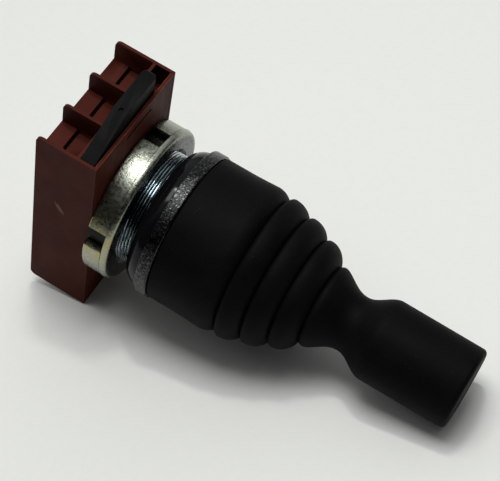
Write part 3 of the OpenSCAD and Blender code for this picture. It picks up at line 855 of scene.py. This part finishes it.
def soften(points, cut, steps):
    """Rounds each corner C of a closed outline with the curve
    (1-t)^2 A + 2t(1-t) C + t^2 B, where A and B lie `cut` mm from C along its two
    sides, or at most 45% of the way along a short side."""
    c = np.asarray(points, float)
    cut = np.broadcast_to(np.asarray(cut, float), len(c))[:, None]
    back, ahead = np.roll(c, 1, 0) - c, np.roll(c, -1, 0) - c
    long_b = np.linalg.norm(back, axis=1, keepdims=True)
    long_a = np.linalg.norm(ahead, axis=1, keepdims=True)
    a = c + back / long_b * np.minimum(cut, 0.45 * long_b)
    b = c + ahead / long_a * np.minimum(cut, 0.45 * long_a)
    t = np.linspace(0, 1, steps + 1)[None, :, None]
    curve = (1 - t) ** 2 * a[:, None] + 2 * t * (1 - t) * c[:, None] + t ** 2 * b[:, None]
    return curve.reshape(-1, 2)


inner = bush_wide + RUBBER_GAP
lip = inner - LIP_WIDE
lip_low = bezel_high - LIP_THICK
bezel_line = soften([[inner, bezel_low], [bezel_wide - 0.05, bezel_low],
                     [bezel_wide, bezel_low + 0.3], [bezel_wide, bezel_high],
                     [lip, bezel_high], [lip, lip_low], [inner, lip_low]],
                    [0.02, 0.12, 0.12, 0.38, 0.12, 0.05, 0.02], 5)
bezel = turned("bezel_coated", bezel_line, bezel_metal)
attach(bezel, "base")
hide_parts("bezel_ring")

# %% [markdown]
# ## Gaiter and grip
# They are one black moulding in real life. Above each notch the rubber steps out
# over a quarter round, then rounds down to the next notch along a full, nearly
# elliptic curve. The neck is a smooth waist between two S curves. One mesh would
# tear or stretch when the lever tilts about two axes, so the moulding is cut at
# the notches, where no seam shows: the skirt stays with the bush, the two pairs of
# folds are pieces of their own, and the grip goes with the lever.

# %% Outline of the gaiter
skirt_wide, skirt_low, skirt_top = reach("gaiter_skirt")
_, low_start, low_end = reach("gaiter_fold_lower")
_, up_start, neck_z = reach("gaiter_fold_upper")
FOLD = (low_end - low_start) / 2
RISE = 0.95
WALL = 1.3
FULLNESS = 1.2
NECK_R = 5.4
notch_r = [12.6, 11.6, 9.9, 7.2]
ridge_r = [14.0, 12.7, 10.8, 7.95]
notch_z = [low_start + k * FOLD for k in range(4)]


def fall(ridge, notch, start, end, count):
    """Rounded drop: r = notch + (ridge - notch) cos(b)^1.2 while z goes from start
    to end with sin(b), b from 0 to 90 degrees."""
    b = np.linspace(0, np.pi / 2, count + 1)[1:]
    return np.stack([notch + (ridge - notch) * np.cos(b).clip(0) ** FULLNESS,
                     start + (end - start) * np.sin(b)], 1)


def rise(notch, ridge, start, count=7):
    """Quarter round out of a notch: r grows with sin, z with 1 - cos."""
    b = np.linspace(0, np.pi / 2, count + 1)[1:]
    return np.stack([notch + (ridge - notch) * np.sin(b), start + RISE * (1 - np.cos(b))], 1)


def ease(u):
    """(1 - cos(180 u)) / 2: from 0 to 1, level at both ends."""
    return (1 - np.cos(np.pi * u)) / 2


def fold_line(k):
    """Outside of fold k: out of its notch, then round down to the next one."""
    return np.vstack([rise(notch_r[k], ridge_r[k], notch_z[k]),
                      fall(ridge_r[k], notch_r[k + 1], notch_z[k] + RISE, notch_z[k + 1], 22)])


def walled(line):
    """Closes an outside line with the same line moved in by the wall."""
    return np.vstack([line, line[::-1] - [WALL, 0]])


print("folds", round(FOLD, 2), "mm high, notches at", [round(z, 1) for z in notch_z])

# %% [markdown]
# The skirt is straight for most of its height and swells a little before it
# rounds over. Its foot hooks under the bezel's lip. The first and the last corner
# of its outer line only guide the rounding, and their own points are dropped.

# %% Skirt
SWELL, SWELL_H, DOME_H = 0.2, 4.0, 3.0
GUIDE_POINTS = 5
hooked = bush_wide - RUBBER_GAP
shoulder = skirt_top - DOME_H
straight_r = skirt_wide - SWELL
under_lip = lip_low - RUBBER_GAP
outer = np.vstack([
    soften([[BUSH_R, bezel_high - 2.0], [hooked, skirt_low], [hooked, under_lip],
            [hooked - 0.8, under_lip], [hooked - 0.8, bezel_high + RUBBER_GAP],
            [straight_r, bezel_high + RUBBER_GAP], [straight_r, shoulder - SWELL_H],
            [skirt_wide, shoulder]],
           [0.1, 0.1, 0.1, 0.1, 0.05, 0.35, 1.5, 0.2], 4)[GUIDE_POINTS:-GUIDE_POINTS],
    fall(skirt_wide, notch_r[0], shoulder, skirt_top, 26)])
outer[0] = [hooked, skirt_low]
inside = [[notch_r[0] - WALL, skirt_top], [notch_r[0] - WALL, skirt_top - 1],
          [straight_r - 1.5, shoulder], [straight_r - 1.5, bezel_high + 1.2],
          [BUSH_R, bezel_high + 0.4], [BUSH_R, skirt_low]]
skirt = turned("gaiter_skirt_rubber", np.vstack([outer, inside]), gaiter_rubber)
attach(skirt, "base")
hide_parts("gaiter_skirt")

# %% [markdown]
# The folds are turned as two pieces, split at the third notch: the lower pair,
# and the upper pair with the cone up to the neck.

# %% Lower folds
line = np.vstack([[[notch_r[0], notch_z[0]]], fold_line(0), fold_line(1)])
lower_folds = turned("gaiter_folds_lower", walled(line), gaiter_rubber)
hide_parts("gaiter_fold_lower")
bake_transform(lower_folds)

# %% Upper folds and the cone
CONE_BEND = 0.8
cone_start = notch_z[3] + RISE
u = np.linspace(0, 1, 25)[1:]
cone = np.stack([ridge_r[3] + (NECK_R - ridge_r[3]) * ease(u ** CONE_BEND),
                 cone_start + (neck_z - cone_start) * u], 1)
line = np.vstack([[[notch_r[2], notch_z[2]]], fold_line(2),
                  rise(notch_r[3], ridge_r[3], notch_z[3]), cone])
upper_folds = turned("gaiter_folds_upper", walled(line), gaiter_rubber)
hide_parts("gaiter_fold_upper")
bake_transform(upper_folds)

# %% [markdown]
# The grip flares out of the neck, narrows by 0.1 mm to its flat end as moulded
# rubber does, and turns over that end in a small round. It is hollow where the
# rod and its threaded insert sit, so its outline runs back down inside.

# %% Grip
FLARE_HIGH = 5.9
ROUND = 0.9
DRAFT = 0.1
INSERT_R, INSERT_UP, INSERT_DOWN, ROD_R = 4.5, 11, 1, 3.6
grip_wide, _, grip_top = reach("grip")
grip_z = neck_z + FLARE_HIGH
end_r = grip_wide - DRAFT
u = np.linspace(0, 1, 24)
flare = np.stack([NECK_R + (grip_wide - NECK_R) * ease(u), neck_z + (grip_z - neck_z) * u], 1)
straight = np.stack([np.linspace(grip_wide, end_r, 8),
                     np.linspace(grip_z, grip_top - ROUND, 8)], 1)[1:-1]
b = np.linspace(0, np.pi / 2, 12)
crown = np.stack([end_r - ROUND + ROUND * np.cos(b), grip_top - ROUND + ROUND * np.sin(b)], 1)
hollow = [[0.0, grip_top], [0.0, grip_z + INSERT_UP], [INSERT_R, grip_z + INSERT_UP],
          [INSERT_R, grip_z - INSERT_DOWN], [ROD_R, grip_z - INSERT_DOWN], [ROD_R, neck_z]]
outline = np.vstack([flare, straight, crown, hollow])
grip = turned("grip_rubber", outline, gaiter_rubber)
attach(grip, "lever")
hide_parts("grip")

# %% [markdown]
# ## Springs
# The springs are out of view. A curve with a round bevel would draw the coil, but
# here the wire is a grid: u runs along it and b round it. The centring spring is
# cut in two, a lower and an upper piece, and each of the four contact springs is
# one piece. The turns lie closer together at both ends, as on any pressure spring.

# %% Springs
TURNS = 5
STEPS_PER_TURN = 44
CLOSED_ENDS = 0.6
SPLIT = 0.40
CENTRING_WIRE, CONTACT_WIRE = 0.5, 0.2


def coil(name, node, wire_r, start=0.0, end=1.0, around=12):
    """Wire of radius w whose middle runs along (R cos a, R sin a, z), a = 360
    TURNS u, with z = low + w + (high - low - 2w) (u - 0.6 sin(360 u) / 2pi) for u
    from start to end. It stands where the CAD coil does, and its ends shrink to a
    point. Returns the piece, its foot and its top."""
    low, high = np.array(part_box(node)) / MM
    middle = (low + high) / 2
    coil_r = (high[0] - low[0]) / 2 - wire_r
    u = np.linspace(start, end, int(STEPS_PER_TURN * TURNS * (end - start)) + 1)
    u = np.concatenate([u[:1], u, u[-1:]])
    thick = np.full(len(u), wire_r)
    thick[[0, -1]] = 0.0
    climb = u - CLOSED_ENDS * np.sin(2 * np.pi * u) / (2 * np.pi)
    z = low[2] + wire_r + (high[2] - low[2] - 2 * wire_r) * climb
    a = (2 * np.pi * TURNS * u)[:, None]
    b = np.linspace(0, 2 * np.pi, around, endpoint=False)[None, :]
    r = coil_r + thick[:, None] * np.cos(b)
    points = np.stack([middle[0] + r * np.cos(a), middle[1] + r * np.sin(a),
                       z[:, None] + thick[:, None] * np.sin(b)], -1).reshape(-1, 3)
    faces = grid_faces(len(u), around, False)[:, [0, 3, 2, 1]]
    piece = make_piece(name, points, faces, spring_steel, 60)
    close_poles(piece, 60)
    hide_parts(node)
    foot, tip = (Vector((middle[0], middle[1], height)) * MM for height in (z[0], z[-1]))
    return piece, foot, tip


piece, foot, tip = coil("centring_spring_lower", "centring_spring", CENTRING_WIRE, 0.0, SPLIT)
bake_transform(piece)
piece, foot, tip = coil("centring_spring_upper", "centring_spring", CENTRING_WIRE, SPLIT, 1.0)
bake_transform(piece)
for way in "enws":
    piece, foot, tip = coil(f"contact_spring_{way}_coil", f"contact_spring_{way}", CONTACT_WIRE)
    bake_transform(piece)
